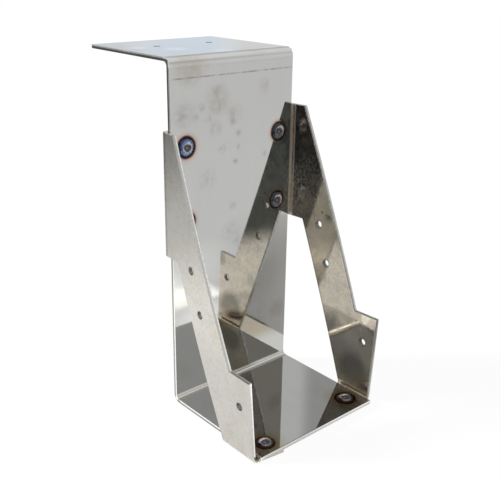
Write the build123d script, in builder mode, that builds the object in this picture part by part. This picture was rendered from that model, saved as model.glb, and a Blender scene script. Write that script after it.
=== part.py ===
"""Welded joist hanger for masonry: a folded stainless strap between two folded gussets."""
from build123d import *
from math import cos, radians, sin
import os

os.makedirs("parts", exist_ok=True)

# Sheet, shared by the strap and the gussets
sheet = 2.5
edge_overrun = 10.0

# Strap: the seat's top face is z = 0 and the back plate's front face is y = 0
strap_width = 100.0
seat_length = 87.0
flange_length = 87.0
clear_height = 225.0
strap_bend = 3.0
top_level = clear_height + sheet

# Gussets: levels above the seat, and reaches forward of the back plate's front face
seat_gap = 2.2
top_gap = 1.5
splay_angle = 7.5
gusset_top = 184.0
top_reach = 9.5
throat_level = 105.0
throat_reach = 12.0
step_level = 51.5
tab_width = 19.0
tab_setback = 4.5
left_foot_setback = 3.0
left_toe_setback = 0.5
right_foot_setback = 5.0
foot_heel_setback = 32.0
tab_reach = seat_length - tab_setback
step_reach = tab_reach - tab_width
left_foot_reach = seat_length - left_foot_setback
left_toe_reach = seat_length - left_toe_setback
right_foot_reach = seat_length - right_foot_setback
foot_heel_reach = seat_length - foot_heel_setback
back_lap = 23.0
seat_lap = 19.0
right_raise = 6.0

# Nail holes
nail_hole = 5.0
flange_hole_spread = 43.0
flange_hole_reach = 53.5
upper_hole_level = 104.5
upper_hole_inset = 14.9
middle_hole_level = 78.0
middle_hole_inset = 17.2
tab_hole_level = 31.5
tab_hole_inset = 9.5
web_slope = (step_reach - top_reach) / (gusset_top - step_level)
upper_hole_reach = top_reach + (gusset_top - upper_hole_level) * web_slope - upper_hole_inset
middle_hole_reach = top_reach + (gusset_top - middle_hole_level) * web_slope - middle_hole_inset
nail_holes = (
    (upper_hole_reach, upper_hole_level),
    (middle_hole_reach, middle_hole_level),
    (tab_reach - tab_hole_inset, tab_hole_level),
)

# Plug welds
plug_hole = 9.0
weld_width = 11.5
shoulder_width = 10.4
shoulder_rise = 0.8
crest_width = 7.0
weld_crest = 1.4
crater_rise = 0.7
weld_inset = 11.5
upper_weld_level = 173.0
lower_weld_level = 125.0
left_seat_weld_setback = 10.0
right_seat_weld_setback = 13.0
left_seat_weld_reach = seat_length - left_seat_weld_setback
right_seat_weld_reach = seat_length - right_seat_weld_setback

half_width = strap_width / 2
weld_offset = half_width - weld_inset
hidden_face = 2 * sheet
fold_level = seat_gap - sheet

# Strap: one sheet folded back over the wall at the top and forward under the joist at the bottom
with BuildPart() as strap:
    with BuildSketch(Plane.YZ):
        with BuildLine():
            Polyline(
                (flange_length, top_level),
                (0, top_level),
                (0, 0),
                (-seat_length, 0),
                (-seat_length, -sheet),
                (sheet, -sheet),
                (sheet, clear_height),
                (flange_length, clear_height),
                close=True,
            )
        make_face()
    extrude(amount=half_width, both=True)
    cross_edges = strap.edges().filter_by(Axis.X)
    inner_folds = (Vector(0, sheet, clear_height), Vector(0, 0, 0))
    outer_folds = (Vector(0, 0, top_level), Vector(0, sheet, -sheet))
    fillet([cross_edges.sort_by_distance(fold)[0] for fold in inner_folds], radius=strap_bend)
    cross_edges = strap.edges().filter_by(Axis.X)
    fillet([cross_edges.sort_by_distance(fold)[0] for fold in outer_folds], radius=strap_bend + sheet)
    with BuildSketch(Plane.XY.offset(top_level)):
        with Locations((0, flange_hole_reach)):
            with GridLocations(flange_hole_spread, 0, 2, 1):
                Circle(nail_hole / 2)
    extrude(amount=-sheet, mode=Mode.SUBTRACT)
    with BuildSketch(Plane.XZ):
        with Locations((0, upper_weld_level), (0, lower_weld_level)):
            with GridLocations(2 * weld_offset, 0, 2, 1):
                Circle(plug_hole / 2)
    extrude(amount=-sheet, mode=Mode.SUBTRACT)
    with BuildSketch(Plane.XY):
        with Locations((-weld_offset, -left_seat_weld_reach), (weld_offset, -right_seat_weld_reach)):
            Circle(plug_hole / 2)
    extrude(amount=-sheet, mode=Mode.SUBTRACT)

strap.part.label = "strap"
export_step(strap.part, "parts/strap.step")


def web_section(level, gap, splay):
    """The back flange, the fold and the web at one level, with the web opened by the splay.

    The fold's inside radius is the gap, so the strap's edge stands where the fold begins.
    """
    turn = radians(splay)
    fold = Vector(half_width, sheet - gap)
    outward = Vector(cos(turn), sin(turn))
    forward = Vector(sin(turn), -cos(turn)) * (seat_length + edge_overrun)
    web_inside = fold + outward * gap
    web_outside = web_inside + outward * sheet
    with BuildSketch(Plane.XY.offset(level)) as section:
        with BuildLine():
            CenterArc(fold, gap, splay, 90 - splay)
            CenterArc(fold, gap + sheet, splay, 90 - splay)
            Polyline(web_inside, web_inside + forward, web_outside + forward, web_outside)
            Polyline(
                (half_width, hidden_face),
                (half_width - back_lap, hidden_face),
                (half_width - back_lap, sheet),
                (half_width, sheet),
            )
        make_face()
    return section.sketch


def gusset_outline(rise, foot_reach):
    """The side view of the gusset: trapezoid, diagonal strap, outward step and upright tab."""
    top = gusset_top + rise
    throat = throat_level + rise
    step = step_level + rise
    behind = hidden_face + edge_overrun
    with BuildSketch(Plane.YZ) as outline:
        with BuildLine():
            Polyline(
                (behind, top),
                (-top_reach, top),
                (-step_reach, step),
                (-tab_reach, step),
                (-foot_reach, fold_level),
                (-foot_heel_reach, fold_level),
                (-throat_reach, throat),
                (behind, throat),
                close=True,
            )
        make_face()
    return outline.sketch


def foot_fold(foot_reach):
    """The quarter fold at the foot of the tab, seen from the front."""
    fold = (half_width, fold_level)
    with BuildSketch(Plane.XZ.offset(foot_reach)) as profile:
        with BuildLine():
            CenterArc(fold, seat_gap, -90, 90)
            CenterArc(fold, seat_gap + sheet, -90, 90)
            Line((half_width + seat_gap, fold_level), (half_width + seat_gap + sheet, fold_level))
            Line((half_width, -sheet), (half_width, -hidden_face))
        make_face()
    return profile.sketch


def foot_flange(foot_reach, toe_reach):
    """The flange under the seat, seen from above, with its front edge running out to the toe."""
    inner_side = half_width - seat_lap
    with BuildSketch(Plane.XY.offset(-hidden_face)) as plan:
        with BuildLine():
            Polyline(
                (half_width, -foot_reach),
                (inner_side, -toe_reach),
                (inner_side, -foot_heel_reach),
                (half_width, -foot_heel_reach),
                close=True,
            )
        make_face()
    return plan.sketch


# Gussets: each is one folded sheet, lapped behind the back plate and under the seat
for side, rise, foot_reach, toe_reach in (
    ("left", 0.0, left_foot_reach, left_toe_reach),
    ("right", right_raise, right_foot_reach, right_foot_reach),
):
    with BuildPart() as gusset:
        web_foot = web_section(fold_level, seat_gap, 0.0)
        web_top = web_section(gusset_top + rise, top_gap, splay_angle)
        loft([web_foot, web_top], ruled=True)
        extrude(gusset_outline(rise, foot_reach), amount=strap_width, mode=Mode.INTERSECT)
        extrude(foot_fold(foot_reach), amount=foot_heel_reach - foot_reach)
        extrude(foot_flange(foot_reach, toe_reach), amount=sheet)
        with BuildSketch(Plane.YZ):
            with Locations(*[(-reach, level + rise) for reach, level in nail_holes]):
                Circle(nail_hole / 2)
        extrude(amount=strap_width, mode=Mode.SUBTRACT)
        if side == "left":
            mirror(about=Plane.YZ, mode=Mode.REPLACE)
    gusset.part.label = "gusset_" + side
    export_step(gusset.part, "parts/gusset_" + side + ".step")


def plug_weld(name, spot, outward):
    """A plug of weld metal through the strap with a raised button and a crater at its centre."""
    face = Plane(origin=spot, x_dir=(1, 0, 0), z_dir=outward)
    with BuildPart() as weld:
        with BuildSketch(Plane(origin=spot, x_dir=face.x_dir, z_dir=-face.y_dir)):
            with BuildLine():
                Polyline(
                    (0, crater_rise),
                    (0, -sheet),
                    (plug_hole / 2, -sheet),
                    (plug_hole / 2, 0),
                    (weld_width / 2, 0),
                    (shoulder_width / 2, shoulder_rise),
                    (crest_width / 2, weld_crest),
                    close=True,
                )
            make_face()
        revolve(axis=Axis(spot, outward))
    weld.part.label = name
    export_step(weld.part, "parts/" + name + ".step")


# Plug welds: two on each side of the back plate and one near each front corner of the seat
for side, x, seat_reach in (
    ("left", -weld_offset, left_seat_weld_reach),
    ("right", weld_offset, right_seat_weld_reach),
):
    plug_weld("weld_back_" + side + "_upper", (x, 0, upper_weld_level), (0, -1, 0))
    plug_weld("weld_back_" + side + "_lower", (x, 0, lower_weld_level), (0, -1, 0))
    plug_weld("weld_seat_" + side, (x, -seat_reach, 0), (0, 0, 1))
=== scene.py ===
"""Joist hanger in stainless sheet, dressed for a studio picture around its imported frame."""

import math
import random

import bmesh
import bpy
from mathutils import Matrix, Vector


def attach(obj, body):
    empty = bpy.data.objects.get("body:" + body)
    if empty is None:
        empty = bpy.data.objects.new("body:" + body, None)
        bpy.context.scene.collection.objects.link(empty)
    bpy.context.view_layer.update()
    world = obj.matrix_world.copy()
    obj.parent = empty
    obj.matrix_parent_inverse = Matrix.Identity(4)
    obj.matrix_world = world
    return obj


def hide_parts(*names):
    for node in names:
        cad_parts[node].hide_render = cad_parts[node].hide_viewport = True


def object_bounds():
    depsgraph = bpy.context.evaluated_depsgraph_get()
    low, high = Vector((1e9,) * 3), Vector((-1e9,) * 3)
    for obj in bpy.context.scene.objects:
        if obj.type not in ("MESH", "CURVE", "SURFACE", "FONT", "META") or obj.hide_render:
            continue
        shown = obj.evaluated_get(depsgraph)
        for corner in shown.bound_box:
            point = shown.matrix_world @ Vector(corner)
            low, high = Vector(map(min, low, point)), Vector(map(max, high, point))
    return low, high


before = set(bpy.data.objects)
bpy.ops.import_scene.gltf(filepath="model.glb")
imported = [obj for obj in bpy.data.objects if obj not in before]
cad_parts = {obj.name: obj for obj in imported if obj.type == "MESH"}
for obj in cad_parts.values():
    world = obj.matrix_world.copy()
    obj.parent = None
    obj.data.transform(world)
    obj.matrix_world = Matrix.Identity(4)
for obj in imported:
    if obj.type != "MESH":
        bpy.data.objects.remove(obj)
cad_box = [list(corner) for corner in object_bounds()]
scene = bpy.context.scene


# Strap: one cold-rolled stainless sheet with a bright, nearly mirror finish, folded on a press brake.
# The brake has left a line under the top fold and has frosted both folds, the shear has left two-toned
# edges, hands have left smudges, and each plug weld has burnt a tinted ring into the sheet.
def add_node(kind, inputs=None, **settings):
    """A new node with its settings; an input is given as a value or as the socket that feeds it."""
    node = tree.nodes.new(kind)
    for name, value in settings.items():
        setattr(node, name, value)
    for name, value in (inputs or {}).items():
        if isinstance(value, bpy.types.NodeSocket):
            tree.links.new(value, node.inputs[name])
        else:
            node.inputs[name].default_value = value
    return node


def calculate(operation, *values):
    """The result of one sum on numbers or sockets, taken on through any number of them."""
    total = values[0]
    for value in values[1:] or (0.0,):
        total = add_node("ShaderNodeMath", {0: total, 1: value}, operation=operation).outputs[0]
    return total


def product(*shares):
    return calculate("MULTIPLY", *shares)


def soft_step(value, start, end, low=0.0, high=1.0):
    """Low before start, high after end, and smooth between them."""
    inputs = {"Value": value, "From Min": start, "From Max": end, "To Min": low, "To Max": high}
    return add_node("ShaderNodeMapRange", inputs, interpolation_type="SMOOTHSTEP").outputs[0]


def blend(factor, first, second, way="MIX"):
    """The first colour turning into the second as the factor goes from 0 to 1."""
    node = add_node("ShaderNodeMix", data_type="RGBA", blend_type=way)
    for name, value in (("Factor", factor), ("A", first), ("B", second)):
        socket = [s for s in node.inputs if s.name == name and s.enabled][0]
        if isinstance(value, bpy.types.NodeSocket):
            tree.links.new(value, socket)
        else:
            socket.default_value = value
    return [s for s in node.outputs if s.enabled][0]


def tinted(share, colour, tint):
    """The colour as it looks through a tint, as far as the share goes."""
    return blend(share, colour, blend(1.0, colour, tint, "MULTIPLY"))


def grain(place, scale, detail=3.0, stretch=None):
    """Fine random variation between 0 and 1 through space, longer along the stretched directions."""
    if stretch:
        place = add_node("ShaderNodeMapping", {"Vector": place, "Scale": stretch}).outputs[0]
    inputs = {"Vector": place, "Scale": scale, "Detail": detail, "Roughness": 0.6}
    return add_node("ShaderNodeTexNoise", inputs).outputs[0]


def colour_stops(value, stops):
    """A colour read from a ramp of places and colours."""
    node = add_node("ShaderNodeValToRGB", {"Fac": value})
    ramp = node.color_ramp
    ramp.elements[0].position, ramp.elements[0].color = stops[0]
    ramp.elements[1].position, ramp.elements[1].color = stops[-1]
    for position, colour in stops[1:-1]:
        ramp.elements.new(position).color = colour
    return node.outputs["Color"]


def distance_to(place, spot):
    """How far a place on the metal is from a spot, in metres."""
    return add_node("ShaderNodeVectorMath", {0: place, 1: spot}, operation="DISTANCE").outputs["Value"]


def metal(colour, cleanness, roughness, eased, bumps):
    """Finishes a metal: bumps are pairs of a height and how far that height stands out."""
    surface = add_node("ShaderNodeBevel", {"Radius": eased}, samples=6).outputs[0]
    for height, relief in bumps:
        inputs = {"Height": height, "Strength": 1.0, "Distance": relief, "Normal": surface}
        surface = add_node("ShaderNodeBump", inputs).outputs[0]
    inputs = {"Base Color": colour, "Metallic": cleanness, "Roughness": roughness, "Normal": surface}
    shader = add_node("ShaderNodeBsdfPrincipled", inputs)
    add_node("ShaderNodeOutputMaterial", {"Surface": shader.outputs[0]})


def new_material(name):
    """An empty material and the tree that the next nodes go into."""
    material = bpy.data.materials.new(name)
    material.use_nodes = True
    material.node_tree.nodes.clear()
    return material, material.node_tree


weld_places = {
    "weld_back_left_upper": (-0.0385, 0.0, 0.173),
    "weld_back_left_lower": (-0.0385, 0.0, 0.125),
    "weld_back_right_upper": (0.0385, 0.0, 0.173),
    "weld_back_right_lower": (0.0385, 0.0, 0.125),
    "weld_seat_left": (-0.0385, -0.077, 0.0),
    "weld_seat_right": (0.0385, -0.074, 0.0),
}
sheet_width = 0.0025
strap_half_width = 0.05
strap_end = 0.087
top_level = 0.2275

strap_steel, tree = new_material("strap_steel")
coordinates = add_node("ShaderNodeTexCoord").outputs
place = coordinates["Object"]
along = add_node("ShaderNodeSeparateXYZ", {"Vector": place}).outputs
out_x = calculate("ABSOLUTE", along["X"])
out_y = calculate("ABSOLUTE", along["Y"])

# Clouds and fine rolling grain
clouds = grain(place, 22.0, 4.0)
streaks = grain(place, 90.0, 4.0, (1.0, 0.07, 0.07))
speckle = grain(place, 900.0, 2.0)
steel = blend(clouds, (0.600, 0.600, 0.590, 1.0), (0.645, 0.645, 0.640, 1.0))
steel = blend(soft_step(streaks, 0.35, 0.7, 0.0, 0.10), steel, (0.50, 0.50, 0.49, 1.0))

# Smudges and dried drops on the back plate, the seat and the top flange
strap_smudges = (
    # x, y, z, radius, strength
    (-0.0409, 0.0, 0.1923, 0.0052, 0.50), (-0.0265, 0.0, 0.1962, 0.0022, 0.60),
    (-0.0311, 0.0, 0.1906, 0.0020, 0.50), (-0.0195, 0.0, 0.1886, 0.0020, 0.50),
    (-0.0234, 0.0, 0.1878, 0.0018, 0.40), (-0.0156, 0.0, 0.1818, 0.0042, 0.40),
    (-0.0139, 0.0, 0.2040, 0.0042, 0.45), (-0.0131, 0.0, 0.1972, 0.0056, 0.40),
    (-0.0018, 0.0, 0.1896, 0.0034, 0.45), (-0.0009, 0.0, 0.1851, 0.0028, 0.50),
    (0.0033, 0.0, 0.1768, 0.0020, 0.65), (0.0034, 0.0, 0.1676, 0.0016, 0.60),
    (0.0010, 0.0, 0.1586, 0.0017, 0.65), (-0.0099, 0.0, 0.1682, 0.0028, 0.40),
    (0.0251, 0.0, 0.2054, 0.0032, 0.30), (-0.0222, 0.0, 0.1492, 0.0060, 0.28),
    (-0.0013, 0.0, 0.1284, 0.0028, 0.35), (-0.0030, 0.0, 0.1112, 0.0062, 0.25),
    (0.0024, 0.0, 0.1028, 0.0034, 0.30), (-0.0344, 0.0, 0.2190, 0.0068, 0.32),
    (0.0264, 0.0, 0.1601, 0.0022, 0.35), (0.0200, 0.0, 0.0420, 0.0110, 0.20),
    (-0.0486, 0.0424, 0.2275, 0.0080, 0.60), (-0.0419, 0.0647, 0.2275, 0.0060, 0.45),
    (-0.0319, 0.0184, 0.2275, 0.0070, 0.30), (0.0206, 0.0091, 0.2275, 0.0080, 0.25),
    (0.0280, -0.0560, 0.0, 0.0080, 0.15), (0.0000, -0.0300, 0.0, 0.0100, 0.12),
)
ragged = soft_step(grain(place, 230.0, 6.0), 0.28, 0.74)
blots = [
    soft_step(distance_to(place, (x, y, z)), radius * 1.8, 0.0, 0.0, 1.1 * strength)
    for x, y, z, radius, strength in strap_smudges
]
smudge = product(calculate("MAXIMUM", *blots), ragged)
steel = blend(smudge, steel, (0.32, 0.28, 0.24, 1.0))
drops = add_node("ShaderNodeTexVoronoi", {"Vector": place, "Scale": 95.0}).outputs["Distance"]
drops = product(soft_step(drops, 0.10, 0.04), soft_step(clouds, 0.55, 0.62))
steel = blend(product(drops, 0.5), steel, (0.22, 0.21, 0.19, 1.0))

# Faint stains and wiped patches, and painted highlights on the top flange
strap_stains_and_highlights = (
    # x, y, z, radius, strength, colour
    (-0.0370, 0.0, 0.2200, 0.0100, 0.45, (0.50, 0.46, 0.40, 1.0)),
    (-0.0135, 0.0, 0.2000, 0.0100, 0.32, (0.48, 0.45, 0.38, 1.0)),
    (-0.0385, 0.0, 0.1930, 0.0090, 0.28, (0.48, 0.47, 0.45, 1.0)),
    (0.0000, 0.0, 0.1900, 0.0070, 0.25, (0.50, 0.48, 0.45, 1.0)),
    (0.0250, 0.0, 0.2040, 0.0060, 0.22, (0.50, 0.47, 0.42, 1.0)),
    (-0.0270, 0.0, 0.2215, 0.0070, 0.30, (0.52, 0.47, 0.41, 1.0)),
    (0.0240, 0.0, 0.0700, 0.0150, 0.30, (0.48, 0.47, 0.45, 1.0)),
    (0.0417, 0.0, 0.0400, 0.0070, 0.40, (0.44, 0.38, 0.36, 1.0)),
    (0.0195, 0.0, 0.0466, 0.0045, 0.45, (0.60, 0.65, 0.72, 1.0)),
    # Painted highlights: pale bluish-white patches on the top flange
    (-0.0200, 0.0350, 0.2275, 0.0070, 0.80, (0.88, 0.89, 0.92, 1.0)),
    (-0.0370, 0.0520, 0.2275, 0.0060, 0.65, (0.84, 0.86, 0.90, 1.0)),
    (0.0000, 0.0120, 0.2275, 0.0080, 0.50, (0.80, 0.82, 0.86, 1.0)),
    (-0.0300, -0.0300, 0.0, 0.0150, 0.30, (0.52, 0.50, 0.42, 1.0)),
)
for x, y, z, radius, strength, colour in strap_stains_and_highlights:
    stain_and_painted_light = soft_step(distance_to(place, (x, y, z)), radius * 1.4, radius * 0.5, 0.0, strength)
    steel = blend(product(stain_and_painted_light, soft_step(ragged, 0.0, 0.5, 0.5, 1.0)), steel, colour)

# Brake lines across the back plate, under the top fold
brake_lines = (
    # level, half height, strength, how broken
    (0.2147, 0.00050, 0.50, 0.51),
    (0.2209, 0.00030, 0.12, 0.52),
)
for level, half_height, strength, broken in brake_lines:
    off_line = calculate("ABSOLUTE", calculate("SUBTRACT", along["Z"], level))
    line = soft_step(off_line, half_height * 1.3, half_height * 0.5, 0.0, strength)
    dashes = soft_step(grain(place, 110.0, 5.0, (1.0, 0.0, 0.0)), broken - 0.10, broken + 0.06, 0.25, 1.0)
    line = product(line, dashes, soft_step(along["Y"], 0.0010, 0.0005))
    steel = blend(line, steel, (0.12, 0.11, 0.10, 1.0))

# Heat rings around the plug welds
heat_reach = 0.016
ring_spreads = {
    "weld_back_left_upper": 1.10, "weld_back_right_upper": 1.02,
    "weld_seat_left": 1.03, "weld_seat_right": 1.14,
}
weld_distances = [
    calculate("DIVIDE", distance_to(place, spot), ring_spreads.get(weld_name, 1.0))
    for weld_name, spot in weld_places.items()
]
weld_distance = calculate("MINIMUM", *weld_distances)
wander = product(calculate("SUBTRACT", grain(place, 260.0, 3.0), 0.5), 0.0009)
weld_distance = calculate("ADD", weld_distance, wander)
on_seat = soft_step(along["Y"], -0.005, -0.010)
ring_reach = calculate("DIVIDE", weld_distance, heat_reach)
heat_tint = colour_stops(ring_reach, (
    (0.340, (0.03, 0.02, 0.03, 1.0)),
    (0.365, (0.04, 0.035, 0.07, 1.0)),
    (0.385, (0.09, 0.03, 0.02, 1.0)),
    (0.412, (0.48, 0.27, 0.18, 1.0)),
    (0.455, (0.93, 0.78, 0.70, 1.0)),
    (0.550, (1.0, 0.95, 0.91, 1.0)),
    (0.640, (1.0, 1.0, 1.0, 1.0)),
))
steel = blend(1.0, steel, heat_tint, "MULTIPLY")
seat_tint = colour_stops(ring_reach, (
    (0.30, (0.76, 0.58, 0.44, 1.0)),
    (0.52, (0.86, 0.75, 0.60, 1.0)),
    (0.70, (0.92, 0.88, 0.74, 1.0)),
    (0.95, (1.0, 1.0, 1.0, 1.0)),
))
steel = tinted(product(on_seat, 0.8), steel, seat_tint)

# Sheared edges: burnished next to the outer face, torn and darker behind, darkest towards the top
depth = calculate("MINIMUM", along["Y"], calculate("SUBTRACT", top_level, along["Z"]))
depth = calculate("MAXIMUM", depth, product(along["Z"], -1.0))
side_edge = soft_step(out_x, strap_half_width - 0.00022, strap_half_width - 0.00012)
end_edge = soft_step(out_y, strap_end - 0.00022, strap_end - 0.00012)
edge = calculate("MAXIMUM", side_edge, end_edge)
torn = soft_step(depth, sheet_width * 0.36, sheet_width * 0.46)
high = soft_step(along["Z"], 0.11, 0.17)
tear_grain = grain(place, 700.0, 2.0)
low_tear = blend(tear_grain, (0.22, 0.22, 0.21, 1.0), (0.40, 0.39, 0.37, 1.0))
high_tear = blend(tear_grain, (0.12, 0.12, 0.11, 1.0), (0.30, 0.29, 0.28, 1.0))
torn_steel = blend(product(high, side_edge), low_tear, high_tear)
torn_steel = blend(product(end_edge, 0.75), torn_steel, (0.86, 0.85, 0.83, 1.0))
edge_steel = blend(torn, (0.97, 0.96, 0.94, 1.0), torn_steel)
steel = blend(edge, steel, edge_steel)

# The seat's side edges are rubbed bright, and a dark burr runs along both ends of the strap
seat_side = product(soft_step(out_x, 0.0494, 0.0498), soft_step(along["Z"], 0.0, -0.0004))
seat_side = product(seat_side, soft_step(along["Y"], -0.050, -0.056))
steel = blend(seat_side, steel, (0.97, 0.94, 0.89, 1.0))
burr = soft_step(out_y, strap_end - 0.0011, strap_end - 0.0004)
burr = product(burr, soft_step(depth, 0.0003, 0.0001), 0.55)
steel = blend(burr, steel, (0.16, 0.15, 0.14, 1.0))

# Folds: frosted by the brake; the low one has a warm tint, and a painted shade in its crease where the
# seat begins
low_fold = product(soft_step(along["Z"], 0.0040, 0.0026), soft_step(along["Y"], -0.0040, -0.0026))
top_fold = product(soft_step(along["Z"], 0.2212, 0.2228), soft_step(along["Y"], 0.0062, 0.0046))
# Painted shade across the low fold where the seat begins
seat_crease_shade = product(soft_step(along["Y"], -0.0010, -0.0019), soft_step(along["Y"], -0.0040, -0.0029))
steel = blend(product(seat_crease_shade, 0.50), steel, (0.20, 0.20, 0.18, 1.0))
steel = tinted(product(low_fold, 0.5), steel, (1.0, 0.96, 0.88, 1.0))

# Roughness: frosted folds, greasy smudges, scale round the welds, sheared edges
roughness = soft_step(clouds, 0.3, 0.7, 0.030, 0.050)
roughness = calculate("ADD", roughness, product(smudge, 0.10))
roughness = calculate("ADD", roughness, product(top_fold, 0.27), product(low_fold, 0.16))
roughness = calculate("ADD", roughness, soft_step(weld_distance, 0.0085, 0.0060, 0.0, 0.16))
roughness = calculate("ADD", roughness, product(edge, 0.18))
cleanness = calculate("SUBTRACT", 1.0, product(smudge, 0.25))
metal(steel, cleanness, roughness, 0.0004, (
    (grain(place, 30.0, 1.0), 0.000012),
    (streaks, 0.0000012),
    (product(speckle, calculate("MAXIMUM", edge, 0.05)), 0.00003),
))
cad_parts["strap"].material_slots[0].material = strap_steel


# Gussets: each is one folded piece of the same sheet from a warmer, duller coil, lapped behind the
# back plate and under the seat. Handling has mottled their faces, and their nail holes are punched.
nail_holes = {
    "gusset_left": ((-0.0270, 0.1045), (-0.0355, 0.0780), (-0.0730, 0.0315)),
    "gusset_right": ((-0.0270, 0.1105), (-0.0355, 0.0840), (-0.0730, 0.0375)),
}
nail_hole_radius = 0.0025
web_inside_at_foot = 0.0522
web_middle = 0.0535
web_splay = 0.1317
web_narrowing = 0.0007
gusset_height = {"gusset_left": 0.184, "gusset_right": 0.190}
gusset_finishes = {
    # light tint, mottle tint, roughness, mottling, film, burnished edge, torn edge (edge tints hold
    # painted light)
    "gusset_left": (
        (0.650, 0.625, 0.580, 1.0), (0.560, 0.545, 0.500, 1.0), 0.115, 0.55, 0.11,
        (0.99, 0.98, 0.96, 1.0), (0.56, 0.55, 0.53, 1.0),
    ),
    "gusset_right": (
        (0.750, 0.672, 0.562, 1.0), (0.590, 0.555, 0.490, 1.0), 0.040, 0.60, 0.34,
        (0.60, 0.59, 0.57, 1.0), (0.17, 0.17, 0.16, 1.0),
    ),
}
gusset_painted_reflections_and_speck = {
    # y, z, radius, strength, tint
    "gusset_right": (
        # painted reflections low on the tab, beside the knee and at the tab's corner, and one speck by
        # the upper hole
        (-0.0670, 0.0140, 0.0125, 0.95, (0.48, 0.495, 0.49, 1.0)),
        (-0.0425, 0.0445, 0.0050, 0.55, (0.60, 0.68, 0.72, 1.0)),
        (-0.0805, 0.0515, 0.0055, 0.75, (0.60, 0.57, 0.55, 1.0)),
        (-0.0297, 0.1198, 0.0011, 0.85, (0.22, 0.22, 0.22, 1.0)),
    ),
}
for gusset_name, finish in gusset_finishes.items():
    light_tint, mottle_tint, base_roughness, mottling, film_depth, burnished_tint_with_painted_light, torn_tint_with_painted_light = finish
    gusset_steel, tree = new_material(gusset_name + "_steel")
    coordinates = add_node("ShaderNodeTexCoord").outputs
    place = coordinates["Object"]
    along = add_node("ShaderNodeSeparateXYZ", {"Vector": place}).outputs
    facing = add_node("ShaderNodeSeparateXYZ", {"Vector": coordinates["Normal"]}).outputs
    out_x = calculate("ABSOLUTE", along["X"])
    face_x, face_y, face_z = (calculate("ABSOLUTE", facing[axis]) for axis in "XYZ")

    # Depth into the sheet from the face that looks inwards
    how_high = calculate("DIVIDE", along["Z"], gusset_height[gusset_name])
    splay = product(how_high, product(along["Y"], -web_splay))
    inner_face = calculate("SUBTRACT", web_inside_at_foot, product(how_high, web_narrowing))
    inner_face = calculate("ADD", splay, inner_face)
    depth = calculate("SUBTRACT", out_x, inner_face)
    inside = soft_step(depth, 0.0012, 0.0006)

    # Mottled film of handling, with cloudy stains and fine bright speckle
    clouds = grain(place, 45.0, 4.0)
    mottle = grain(place, 250.0, 6.0)
    speckle = grain(place, 620.0, 3.0)
    handled = grain(place, 600.0, 6.0)
    steel = blend(soft_step(mottle, 0.44, 0.62, 0.0, mottling), light_tint, mottle_tint)
    steel = blend(soft_step(clouds, 0.50, 0.72, 0.0, 0.45), steel, (0.545, 0.470, 0.390, 1.0))
    # The outer face is darker towards the bottom.
    low_tone = product(soft_step(along["Z"], 0.075, 0.045, 0.0, 0.36), calculate("SUBTRACT", 1.0, inside))
    steel = blend(low_tone, steel, (0.40, 0.39, 0.39, 1.0))
    steel = blend(soft_step(speckle, 0.55, 0.75, 0.0, 0.35), steel, (0.80, 0.79, 0.76, 1.0))
    steel = blend(soft_step(speckle, 0.42, 0.25, 0.0, 0.40), steel, (0.33, 0.33, 0.30, 1.0))

    # Bluish bloom on the upper inner face
    bloom = soft_step(grain(place, 120.0, 5.0), 0.46, 0.62)
    bloom = product(bloom, soft_step(along["Z"], 0.126, 0.140), inside, 0.85)
    steel = tinted(bloom, steel, (0.46, 0.58, 0.68, 1.0))

    # Painted reflections on the inside of the right-hand gusset: patches darkened and tinted where darker
    # reflections fall, and one dark speck
    for y, z, radius, strength, colour in gusset_painted_reflections_and_speck.get(gusset_name, ()):
        stain_and_painted_light = distance_to(place, (web_middle, y, z))
        stain_and_painted_light = soft_step(stain_and_painted_light, radius * 1.4, radius * 0.6, 0.0, strength)
        stain_and_painted_light = product(stain_and_painted_light, inside, soft_step(along["Z"], 0.003, 0.009))
        steel = tinted(stain_and_painted_light, steel, colour)

    # Blue and brown heat stains where the plug welds have burnt through from the strap, and brown
    # splashes on the web beside them
    scorches = []
    for x, y, z in weld_places.values():
        burnt = (x, 2 * sheet_width, z) if z > 0.0 else (x, y, -2 * sheet_width)
        burn = soft_step(distance_to(place, burnt), 0.0095, 0.0040)
        beside = (math.copysign(web_middle, x), -0.0080, z)
        scorches.append(soft_step(distance_to(place, beside), 0.0150, 0.0070))
        splash = soft_step(distance_to(place, beside), 0.0130, 0.0030, 0.0, 0.75 if z > 0.15 else 0.30)
        splash = product(splash, soft_step(mottle, 0.40, 0.60), inside)
        steel = blend(splash, steel, (0.24, 0.18, 0.14, 1.0))
        burn_tint = blend(soft_step(burn, 0.5, 0.9), (0.50, 0.34, 0.22, 1.0), (0.20, 0.22, 0.34, 1.0))
        steel = blend(product(burn, 0.8), steel, burn_tint)
        if z == 0.0:
            warmed = soft_step(distance_to(place, (1.35 * x, y, 0.004)), 0.018, 0.006, 0.0, 0.30)
            steel = blend(product(warmed, inside), steel, (0.40, 0.33, 0.26, 1.0))
    scorch = calculate("MAXIMUM", *scorches)

    # Sheared edges of the web, of the flange behind the plate and of the flange under the seat, burnished
    # on one side of the sheet and torn on the other
    web_edge = product(soft_step(face_x, 0.75, 0.55), soft_step(along["Y"], 0.0, -0.0003))
    top_edge = soft_step(face_z, 0.75, 0.92)
    above = soft_step(along["Z"], -0.0004, 0.0004)
    flange_edge = product(
        soft_step(face_y, 0.75, 0.55), soft_step(along["Y"], 0.0003, 0.0007),
        soft_step(out_x, 0.0496, 0.0492),
    )
    foot_edge = product(soft_step(face_y, 0.75, 0.92), soft_step(along["Y"], -0.05, -0.051))
    below = soft_step(along["Z"], 0.0004, -0.0004)
    edge = calculate("MAXIMUM", web_edge, top_edge, flange_edge)
    edge = calculate("MAXIMUM", product(edge, above), product(foot_edge, below))
    tear_grain = grain(place, 700.0, 2.0)
    torn_from, torn_to = (0.0008, 0.0012) if gusset_name == "gusset_left" else (0.0012, 0.0008)
    torn = soft_step(depth, torn_from, torn_to)
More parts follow.
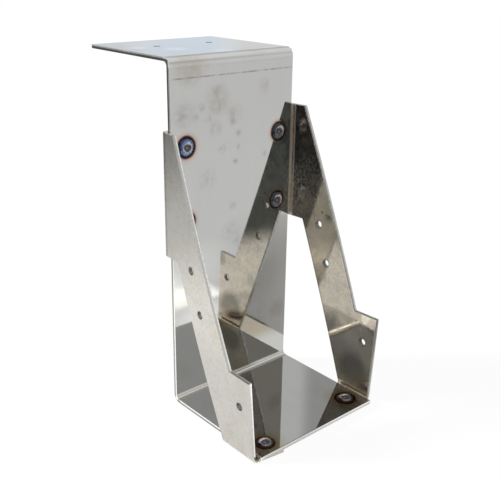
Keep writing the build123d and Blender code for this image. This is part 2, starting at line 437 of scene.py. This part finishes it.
    # The edge tints carry painted light: the left gusset's edges are painted bright as a highlight, the
    # right's dark as shade.
    edge_steel = blend(torn, burnished_tint_with_painted_light, torn_tint_with_painted_light)
    # Edges facing rearwards are painted darker, a painted shade.
    rear_facing_edge_shade = soft_step(facing["Y"], 0.10, 0.40)
    edge_steel = blend(rear_facing_edge_shade, edge_steel, (0.50, 0.49, 0.45, 1.0))
    edge_steel = blend(soft_step(tear_grain, 0.35, 0.65, 0.0, 0.35), edge_steel, torn_tint_with_painted_light)
    steel = blend(edge, steel, edge_steel)

    # A painted shade along the rear edge of the web, from throat to heel, and painted shade on the
    # outside of the fold
    throat = (-0.012, gusset_height[gusset_name] - 0.079)
    heel = (-0.055, -0.0003)
    run, drop = heel[0] - throat[0], heel[1] - throat[1]
    length = math.hypot(run, drop)
    off_rear = calculate(
        "ADD", product(calculate("SUBTRACT", along["Y"], throat[0]), drop / length),
        product(calculate("SUBTRACT", along["Z"], throat[1]), -run / length),
    )
    rear_line_painted_shade = soft_step(calculate("ABSOLUTE", off_rear), 0.0011, 0.0004, 0.0, 0.75)
    rear_line_painted_shade = product(rear_line_painted_shade, soft_step(along["Z"], 0.050, 0.070, 0.55, 1.0))
    rear_line_painted_shade = product(rear_line_painted_shade, inside, soft_step(along["Z"], throat[1] + 0.001, throat[1]))
    steel = blend(rear_line_painted_shade, steel, (0.10, 0.10, 0.09, 1.0))
    fold_painted_shade = product(soft_step(along["Y"], -0.0012, 0.0010), soft_step(depth, 0.0010, 0.0016))
    fold_painted_shade = product(fold_painted_shade, soft_step(speckle, 0.35, 0.60, 0.95, 0.55))
    steel = blend(fold_painted_shade, steel, (0.33, 0.33, 0.31, 1.0))

    # Nail holes: walls painted dark as shade in the hole and lighter where they face up, a painted
    # highlight, and a dark rim
    from_side = add_node("ShaderNodeCombineXYZ", {"Y": along["Y"], "Z": along["Z"]}).outputs[0]
    hole_distances = [distance_to(from_side, (0.0, y, z)) for y, z in nail_holes[gusset_name]]
    hole_distance = calculate("MINIMUM", *hole_distances)
    wall = soft_step(hole_distance, nail_hole_radius + 0.00012, nail_hole_radius + 0.00004)
    rim = soft_step(hole_distance, nail_hole_radius + 0.0010, nail_hole_radius + 0.0003, 0.0, 0.70)
    rim = product(rim, soft_step(inside, 0.0, 1.0, 0.35, 1.0))
    steel = blend(rim, steel, (0.13, 0.125, 0.11, 1.0))
    wall_shade_and_highlight = blend(tear_grain, (0.05, 0.05, 0.05, 1.0), (0.16, 0.15, 0.14, 1.0))
    wall_shade_and_highlight = blend(soft_step(facing["Z"], 0.15, 0.60, 0.0, 0.3), wall_shade_and_highlight, torn_tint_with_painted_light)
    steel = blend(wall, steel, wall_shade_and_highlight)
    edge = product(edge, calculate("SUBTRACT", 1.0, wall))

    # Roughness, and the greasy film, which lies thickest at half height
    roughness = calculate("ADD", base_roughness, soft_step(mottle, 0.40, 0.70, 0.0, 0.06))
    roughness = calculate("ADD", roughness, product(edge, 0.14))
    roughness = calculate("ADD", roughness, product(wall, 0.25))
    low_web = soft_step(along["Z"], 0.026, 0.008, 0.0, 0.13)
    roughness = calculate("ADD", roughness, low_web, product(scorch, inside, 0.10))
    film = product(soft_step(handled, 0.36, 0.66), soft_step(clouds, 0.34, 0.62, 0.45, 1.0))
    film = product(film, soft_step(along["Z"], 0.03, 0.12, 0.25, 1.0))
    film = product(film, soft_step(along["Z"], 0.166, 0.136, 0.12, 1.0))
    steel = blend(product(film, 0.5), steel, (0.50, 0.53, 0.48, 1.0))
    cleanness = calculate("SUBTRACT", 1.0, product(film, film_depth))
    cleanness = calculate("MAXIMUM", cleanness, edge)

    # Inside the fold behind the strap's edge the sheet is painted pale and dull as a highlight, with a
    # stained line beside it
    behind = product(inside, soft_step(out_x, 0.0490, 0.0500))
    fold_painted_highlight = product(behind, soft_step(along["Y"], -0.0006, 0.0002))
    steel = blend(fold_painted_highlight, steel, (0.90, 0.80, 0.67, 1.0))
    cleanness = calculate("SUBTRACT", cleanness, product(fold_painted_highlight, 0.62))
    off_line = calculate("ABSOLUTE", calculate("ADD", along["Y"], 0.0021))
    stained = product(behind, soft_step(off_line, 0.0009, 0.0003))
    steel = blend(stained, steel, (0.74, 0.60, 0.48, 1.0))
    cleanness = calculate("SUBTRACT", cleanness, product(stained, 0.35))

    # The fold under the seat: a painted highlight next to the web, brightest towards the front, painted
    # shade down in the gap, and its cut end darker near the bend
    foot_fold = product(soft_step(out_x, 0.0490, 0.0500), soft_step(along["Z"], -0.0004, -0.0008))
    foot_fold = product(foot_fold, inside, soft_step(face_y, 0.6, 0.3))
    foot_fold_light_and_shade = blend(
        soft_step(along["Y"], -0.060, -0.080), (0.72, 0.68, 0.62, 1.0), (0.99, 0.95, 0.89, 1.0),
    )
    gap_painted_shade = soft_step(along["Z"], -0.0011, -0.0017)
    foot_fold_light_and_shade = blend(gap_painted_shade, foot_fold_light_and_shade, (0.22, 0.18, 0.12, 1.0))
    steel = blend(foot_fold, steel, foot_fold_light_and_shade)
    in_section = add_node("ShaderNodeCombineXYZ", {"X": out_x, "Z": along["Z"]}).outputs[0]
    foot_tint = blend(
        soft_step(distance_to(in_section, (0.05, 0.0, -0.0003)), 0.0031, 0.0037),
        (0.15, 0.12, 0.08, 1.0), (0.70, 0.68, 0.62, 1.0),
    )
    steel = blend(product(foot_edge, below), steel, foot_tint)
    metal(steel, cleanness, roughness, 0.0004, (
        (grain(place, 70.0, 1.0), 0.000045),
        (mottle, 0.0000030),
        (speckle, 0.0000012),
        (product(tear_grain, edge), 0.000015),
    ))
    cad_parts[gusset_name].material_slots[0].material = gusset_steel


# Plug welds: puddled through holes in the strap on to the gussets behind, each with a rippled button
# round a sunken crater. The crest carries painted light, a highlight on its far side and shade on its
# near side, and the metal is blue and brown towards its skirt.
plug_depth = 0.0024
plug_radius = 0.0044
weld_profiles = {
    # pairs of radius and height in millimetres, from the skirt's foot to the middle of the crater
    "back": ((5.72, 0.0), (5.66, 0.18), (5.5, 0.42), (5.2, 0.72), (4.8, 0.98), (4.3, 1.18), (3.8, 1.30),
             (3.3, 1.32), (2.8, 1.18), (2.3, 0.94), (1.8, 0.76), (1.3, 0.72), (0.8, 0.82), (0.4, 0.90),
             (0.0, 0.92)),
    "seat": ((5.72, 0.0), (5.6, 0.08), (5.2, 0.14), (4.8, 0.22), (4.5, 0.46), (4.3, 0.80), (4.0, 1.10),
             (3.6, 1.28), (3.1, 1.30), (2.7, 1.10), (2.3, 0.80), (1.8, 0.60), (1.3, 0.58), (0.8, 0.66),
             (0.4, 0.74), (0.0, 0.76)),
}
turns = 72
steps_between = 3

bead_finishes = {
    # tints of the crest's painted highlight on its far side, its painted shade on its near side, the ring
    # round it and the skirt; then how fast they follow each other outwards, how far the painted bright
    # side leans over, and how flecked the skirt is
    "blue": (
        (0.66, 0.66, 0.70, 1.0), (0.60, 0.60, 0.64, 1.0),
        (0.17, 0.27, 0.52, 1.0), (0.05, 0.06, 0.16, 1.0),
        160.0, 1.1, 0.60,
    ),
    "dark": (
        (0.80, 0.78, 0.82, 1.0), (0.24, 0.24, 0.26, 1.0),
        (0.050, 0.058, 0.068, 1.0), (0.03, 0.025, 0.025, 1.0),
        144.0, 1.1, 0.60,
    ),
    "brown": (
        (0.84, 0.73, 0.71, 1.0), (0.21, 0.20, 0.19, 1.0),
        (0.030, 0.013, 0.008, 1.0), (0.020, 0.007, 0.003, 1.0),
        144.0, 0.35, 0.0,
    ),
}
bead_metals = {}
for finish_name, finish in bead_finishes.items():
    crest_painted_highlight, crest_painted_shade, ring_tint, skirt_tint, outward_pace, lean_over, skirt_flecks = finish
    bead_metals[finish_name], tree = new_material("weld_bead_" + finish_name)
    place = add_node("ShaderNodeTexCoord").outputs["Object"]
    along = add_node("ShaderNodeSeparateXYZ", {"Vector": place}).outputs
    flat = add_node("ShaderNodeCombineXYZ", {"X": along["X"], "Y": along["Y"]}).outputs[0]
    out = product(distance_to(flat, (0.0003, -0.0003, 0.0)), outward_pace)
    mottle = grain(place, 700.0, 4.0)
    out = calculate("ADD", out, product(calculate("SUBTRACT", mottle, 0.5), 0.26))
    # Painted highlight on the crest's far side and painted shade on its near side
    far_side = calculate("ADD", along["Y"], product(along["X"], lean_over))
    crest_painted_light = blend(soft_step(far_side, -0.0009, 0.0007), crest_painted_shade, crest_painted_highlight)
    metal_tint = colour_stops(out, (
        (0.06, (0.26, 0.26, 0.28, 1.0)),
        (0.20, (0.08, 0.08, 0.10, 1.0)),
        (0.36, (0.13, 0.13, 0.15, 1.0)),
        (0.44, (0.24, 0.24, 0.27, 1.0)),
        (0.60, ring_tint),
        (0.78, ring_tint),
        (0.87, skirt_tint),
        (1.0, skirt_tint),
    ))
    on_crest = product(soft_step(out, 0.37, 0.46), soft_step(out, 0.64, 0.54))
    metal_tint = blend(on_crest, metal_tint, crest_painted_light)
    flecks = soft_step(grain(place, 1300.0, 2.0), 0.42, 0.58)
    fleck_share = soft_step(out, 0.66, 0.56, skirt_flecks, 0.60)
    metal_tint = blend(product(flecks, fleck_share), metal_tint, (0.06, 0.06, 0.08, 1.0))
    bead_roughness = soft_step(mottle, 0.3, 0.7, 0.06, 0.18)
    metal(metal_tint, 1.0, bead_roughness, 0.0001, ((mottle, 0.00016), (flecks, 0.00004)))

# Each bead's own ripples and its crater's slip to one side
ripples = random.Random(7)
for weld_name, spot in weld_places.items():
    on_seat = spot[2] == 0.0
    profile = weld_profiles["seat" if on_seat else "back"]
    rings = []
    for (radius, height), (next_radius, next_height) in zip(profile, profile[1:]):
        for step in range(steps_between):
            part = step / steps_between
            rings.append((radius + (next_radius - radius) * part, height + (next_height - height) * part))
    lean = ripples.uniform(0.0, math.tau)
    slip = (0.45 * math.cos(lean), 0.45 * math.sin(lean))
    phases = [ripples.uniform(0.0, math.tau) for _ in range(6)]
    bead = bmesh.new()
    low_middle = bead.verts.new((0.0, 0.0, -plug_depth))
    loops = []
    for level in (-plug_depth, -0.00002):
        loops.append([
            bead.verts.new((plug_radius * math.cos(turn), plug_radius * math.sin(turn), level))
            for turn in (math.tau * i / turns for i in range(turns))
        ])
    for radius, height in rings:
        ring = []
        inward = 1.0 - radius / profile[0][0]
        for i in range(turns):
            turn = math.tau * i / turns
            wave = math.sin(2 * turn + phases[0]) + 0.7 * math.sin(3 * turn + phases[1])
            wave += 0.5 * math.sin(5 * turn + phases[2]) + 0.35 * math.sin(9 * turn + phases[3])
            reach = radius * (1.0 - 0.012 * (1.6 + wave) * min(1.0, 4.0 * inward + 0.05))
            x = reach * math.cos(turn) + slip[0] * inward
            y = reach * math.sin(turn) + slip[1] * inward
            ripple = math.hypot(x - 2.2 * slip[0], y - 2.2 * slip[1])
            rise = 0.045 * math.sin(math.tau * ripple / 0.85 + 0.6 * math.sin(2 * turn + phases[4]))
            rise += 0.05 * math.sin(2 * turn + phases[5]) * min(1.0, radius / 2.0)
            lift = min(1.38, max(0.0, height + rise * min(1.0, height / 0.6)))
            ring.append(bead.verts.new((x / 1000, y / 1000, lift / 1000)))
        loops.append(ring)
    top_middle = bead.verts.new((slip[0] / 1000, slip[1] / 1000, profile[-1][1] / 1000))
    for i in range(turns):
        j = (i + 1) % turns
        bead.faces.new((low_middle, loops[0][j], loops[0][i]))
        for lower, upper in zip(loops, loops[1:]):
            bead.faces.new((lower[i], lower[j], upper[j], upper[i]))
        bead.faces.new((loops[-1][i], loops[-1][j], top_middle))
    for face in bead.faces:
        face.smooth = True
    bead_mesh = bpy.data.meshes.new(weld_name + "_bead")
    bead.to_mesh(bead_mesh)
    bead.free()
    finish_name = "brown" if on_seat else "blue" if spot[0] < 0.0 else "dark"
    bead_mesh.materials.append(bead_metals[finish_name])
    button = bpy.data.objects.new(weld_name + "_bead", bead_mesh)
    scene.collection.objects.link(button)
    turned_to = Matrix.Identity(4) if on_seat else Matrix.Rotation(math.radians(90.0), 4, "X")
    button.matrix_world = Matrix.Translation(spot) @ turned_to
    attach(button, "root")
    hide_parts(weld_name)


# Table: a plain white top just under the hanger's feet, with the hanger's faint shadow on it.
# Polished metal shows it in its painted tones: pale near by, and dark far out towards the front left,
# where the studio is unlit.
table_level = cad_box[0][2] - 0.0001
table_half = 4.0
table_mesh = bpy.data.meshes.new("table")
corner_signs = ((-1, -1), (1, -1), (1, 1), (-1, 1))
table_corners = [(x * table_half, y * table_half, table_level) for x, y in corner_signs]
table_mesh.from_pydata(table_corners, [], [(0, 1, 2, 3)])
table = bpy.data.objects.new("table", table_mesh)
scene.collection.objects.link(table)

table_paint, tree = new_material("table_paint")
table_mesh.materials.append(table_paint)
place = add_node("ShaderNodeTexCoord").outputs["Object"]
along = add_node("ShaderNodeSeparateXYZ", {"Vector": place}).outputs
front_left = (-0.660, -0.751, 0.0)
ahead = add_node("ShaderNodeVectorMath", {0: place, 1: front_left}, operation="DOT_PRODUCT")
ahead = ahead.outputs["Value"]
far = add_node("ShaderNodeVectorMath", {0: place}, operation="LENGTH").outputs["Value"]
sector = soft_step(calculate("DIVIDE", ahead, far), 0.55, 0.72)
dark_side = product(sector, soft_step(ahead, 0.215, 0.30))
leftward = soft_step(along["X"], 0.04, -0.08)
front_tone = colour_stops(far, (
    (0.0, (1.27, 1.27, 1.25, 1.0)), (0.19, (1.27, 1.27, 1.25, 1.0)), (0.30, (0.93, 0.93, 0.93, 1.0)),
    (1.0, (0.90, 0.90, 0.90, 1.0)),
))
left_tone = colour_stops(far, (
    (0.0, (1.25, 1.25, 1.23, 1.0)), (0.20, (1.32, 1.32, 1.30, 1.0)), (0.34, (0.84, 0.84, 0.83, 1.0)),
    (0.46, (0.74, 0.74, 0.74, 1.0)), (0.655, (0.47, 0.47, 0.47, 1.0)), (0.83, (0.33, 0.33, 0.33, 1.0)),
    (1.0, (0.29, 0.29, 0.29, 1.0)),
))
table_tone = blend(leftward, front_tone, left_tone)

# The hanger's long shadow towards the front right, painted into the tones that polished metal shows
across = calculate("ADD", along["X"], along["Y"])
hanger_shadow_band = product(soft_step(across, -0.022, -0.008), soft_step(far, 0.395, 0.380))
hanger_shadow_band = product(hanger_shadow_band, soft_step(along["Y"], -0.010, -0.030), soft_step(along["X"], 0.040, 0.050))
hanger_shadow_tone = blend(soft_step(across, 0.0, 0.07), (0.70, 0.69, 0.67, 1.0), (0.87, 0.85, 0.82, 1.0))
table_tone = blend(hanger_shadow_band, table_tone, hanger_shadow_tone)

# A pool of light in front of the seat, with a glare at its heart
pool = product(soft_step(along["X"], 0.090, 0.050), soft_step(along["X"], -0.010, 0.020))
pool = product(pool, soft_step(along["Y"], -0.080, -0.105), soft_step(along["Y"], -0.240, -0.190))
table_tone = blend(pool, table_tone, (1.75, 1.74, 1.70, 1.0))
glare = product(soft_step(along["X"], 0.100, 0.085), soft_step(along["X"], 0.028, 0.045))
glare = product(glare, soft_step(along["Y"], -0.118, -0.127), soft_step(along["Y"], -0.165, -0.145))
table_tone = blend(glare, table_tone, (2.50, 2.46, 2.34, 1.0))

# A pale strip close beside the right-hand gusset, and the dark seam that ends it
strip = product(soft_step(along["X"], 0.0785, 0.0765), soft_step(along["X"], 0.050, 0.052))
strip = product(strip, soft_step(along["Y"], -0.082, -0.078))
strip_tone = soft_step(along["Y"], -0.030, -0.050)
strip_tone = blend(strip_tone, (1.60, 1.60, 1.56, 1.0), (1.20, 1.08, 0.88, 1.0))
table_tone = blend(strip, table_tone, strip_tone)
seam = soft_step(calculate("ABSOLUTE", calculate("SUBTRACT", along["X"], 0.0785)), 0.0018, 0.0006)
seam = product(seam, soft_step(along["Y"], -0.044, -0.056), soft_step(along["Y"], -0.084, -0.080))
table_tone = blend(seam, table_tone, (0.12, 0.12, 0.11, 1.0))

# The unlit side, dimmest straight to the left
unlit_left = blend(soft_step(far, 0.34, 0.62), (0.085, 0.088, 0.080, 1.0), (0.030, 0.031, 0.030, 1.0))
sideways = soft_step(calculate("DIVIDE", along["X"], far), -0.52, -0.68)
unlit = blend(sideways, (0.115, 0.130, 0.135, 1.0), unlit_left)
table_tone = blend(dark_side, table_tone, unlit)

# White for the picture, painted for polished metal, and plain for all other light
rays = add_node("ShaderNodeLightPath").outputs
lit = add_node("ShaderNodeBsdfDiffuse", {"Color": (0.8, 0.8, 0.8, 1.0)}).outputs[0]
mirrored_glow = add_node("ShaderNodeEmission", {"Color": table_tone, "Strength": 1.0}).outputs[0]
mirrored_table = add_node("ShaderNodeBsdfDiffuse", {"Color": table_tone}).outputs[0]
mirrored_table = add_node("ShaderNodeMixShader", {0: 0.7, 1: mirrored_glow, 2: mirrored_table}).outputs[0]
white = (1.0, 1.0, 1.0, 1.0)
shadow_share = 0.12
white_level = 1.065
glow = add_node("ShaderNodeEmission", {"Color": white, "Strength": white_level}).outputs[0]
pictured = add_node("ShaderNodeMixShader", {0: shadow_share, 1: glow, 2: lit}).outputs[0]
shiny = calculate("MAXIMUM", rays["Is Glossy Ray"], rays["Is Transmission Ray"])
plain = add_node("ShaderNodeMixShader", {0: shiny, 1: lit, 2: mirrored_table}).outputs[0]
seen = add_node("ShaderNodeMixShader", {0: rays["Is Camera Ray"], 1: plain, 2: pictured}).outputs[0]
add_node("ShaderNodeOutputMaterial", {"Surface": seen})


# Key lamp: one soft lamp behind and to the left, which throws the hanger's shadow to its right.
# Polished metal doesn't mirror the lamp itself, only the walls and the table.
lamp_data = bpy.data.lights.new("key_lamp", "SUN")
lamp_data.energy = 2.9
lamp_data.angle = math.radians(14.0)
lamp = bpy.data.objects.new("key_lamp", lamp_data)
lamp.rotation_euler = Vector((-0.80, 0.60, 0.54)).to_track_quat("Z", "Y").to_euler()
lamp.visible_glossy = False
scene.collection.objects.link(lamp)


# Studio walls and ceiling: pale all round and low down, dimmer in a band above the table's level,
# and open and pale again overhead. Only polished metal shows them; the picture's background is white.
studio_patches = (
    # degrees round from the front, from and to; degrees up, from and to; softness; colour
    (-130, 30, 46.0, 76.0, 4.0, (1.45, 1.44, 1.42, 1.0)),
    (40, 125, 42.0, 80.0, 3.0, (1.00, 1.00, 0.99, 1.0)),
    (-180, 47, 23.0, 39.0, 1.5, (0.28, 0.28, 0.28, 1.0)),
    (125, 180, 23.0, 39.0, 1.5, (0.28, 0.28, 0.28, 1.0)),
    (26, 40.3, 22.5, 36.0, 0.8, (0.57, 0.57, 0.57, 1.0)),
    (129.5, 133.6, 26.0, 44.0, 0.8, (0.39, 0.39, 0.39, 1.0)),
    (133.6, 176, 13.0, 42.0, 0.8, (0.60, 0.60, 0.60, 1.0)),
    (-150, -88, 20.0, 34.0, 1.5, (0.14, 0.14, 0.14, 1.0)),
    (100, 140.5, 0.0, 13.0, 1.5, (0.74, 0.755, 0.75, 1.0)),
    (140.5, 147, 0.0, 13.0, 1.5, (0.72, 0.79, 0.87, 1.0)),
    (147, 180, 0.0, 13.0, 1.5, (0.71, 0.745, 0.79, 1.0)),
    (-62, -38, 17.0, 23.5, 0.4, (1.25, 1.22, 1.18, 1.0)),
    (-62, -38, 23.5, 26.0, 0.5, (0.36, 0.38, 0.40, 1.0)),
    (-62, -54.5, 22.4, 26.0, 0.4, (0.38, 0.39, 0.40, 1.0)),
    (-62, -38, 26.0, 37.0, 1.0, (0.18, 0.18, 0.18, 1.0)),
    (-43, -33, 26.0, 31.5, 1.0, (0.42, 0.42, 0.38, 1.0)),
    (-60, -38, -5.0, 17.0, 1.5, (3.00, 2.95, 2.85, 1.0)),
    (41, 47, 23.0, 37.0, 1.0, (0.31, 0.30, 0.26, 1.0)),
    (-45, -38, 21.0, 24.8, 0.8, (1.55, 1.50, 1.42, 1.0)),
    (-130, -120, 17.0, 20.2, 0.4, (1.50, 1.48, 1.42, 1.0)),
    (-130, -116, 20.6, 26.0, 0.6, (0.26, 0.27, 0.27, 1.0)),
)
studio = bpy.data.worlds.new("studio")
scene.world = studio
studio.use_nodes = True
tree = studio.node_tree
tree.nodes.clear()
direction = add_node("ShaderNodeTexCoord").outputs["Generated"]
along = add_node("ShaderNodeSeparateXYZ", {"Vector": direction}).outputs
front = product(along["Y"], -1.0)
side = calculate("DEGREES", calculate("ARCTAN2", along["X"], front))
height = calculate("DEGREES", calculate("ARCSINE", along["Z"]))
studio_colour = (0.88, 0.88, 0.88, 1.0)
for side_from, side_to, height_from, height_to, softness, colour in studio_patches:
    edges = []
    for value, low, high in ((side, side_from, side_to), (height, height_from, height_to)):
        edges.append(soft_step(value, low - softness, low + softness))
        edges.append(soft_step(value, high + softness, high - softness))
    studio_colour = blend(product(*edges), studio_colour, colour)
rays = add_node("ShaderNodeLightPath").outputs
ambient_level = 0.35
plain = add_node("ShaderNodeBackground", {"Color": white, "Strength": ambient_level}).outputs[0]
room = add_node("ShaderNodeBackground", {"Color": studio_colour, "Strength": 1.0}).outputs[0]
backdrop = add_node("ShaderNodeBackground", {"Color": white, "Strength": 1.0}).outputs[0]
shiny = calculate("MAXIMUM", rays["Is Glossy Ray"], rays["Is Transmission Ray"])
around = add_node("ShaderNodeMixShader", {0: shiny, 1: plain, 2: room}).outputs[0]
seen = add_node("ShaderNodeMixShader", {0: rays["Is Camera Ray"], 1: around, 2: backdrop}).outputs[0]
add_node("ShaderNodeOutputWorld", {"Surface": seen})


# Camera: a normal lens a little above the hanger, looking down on its left front corner from the
# place that the pictured corners and holes give.
camera_place = (-0.31054, -0.36996, 0.28245)
camera_azimuth = math.radians(-41.319)
camera_elevation = math.radians(21.049)
camera_roll = math.radians(0.843)

camera_data = bpy.data.cameras.new("camera")
camera_data.sensor_width = 36.0
camera_data.lens = 54.834
camera_data.clip_start = 0.01
camera_data.clip_end = 20.0
camera = bpy.data.objects.new("camera", camera_data)
scene.collection.objects.link(camera)
level_reach = math.cos(camera_elevation)
backward = Vector((
    math.sin(camera_azimuth) * level_reach,
    -math.cos(camera_azimuth) * level_reach,
    math.sin(camera_elevation),
))
level_right = Vector((math.cos(camera_azimuth), math.sin(camera_azimuth), 0.0))
level_up = backward.cross(level_right)
picture_right = level_right * math.cos(camera_roll) + level_up * math.sin(camera_roll)
picture_up = level_up * math.cos(camera_roll) - level_right * math.sin(camera_roll)
turned = Matrix((picture_right, picture_up, backward)).transposed()
camera.matrix_world = Matrix.Translation(camera_place) @ turned.to_4x4()
scene.camera = camera
scene.view_settings.view_transform = "Standard"
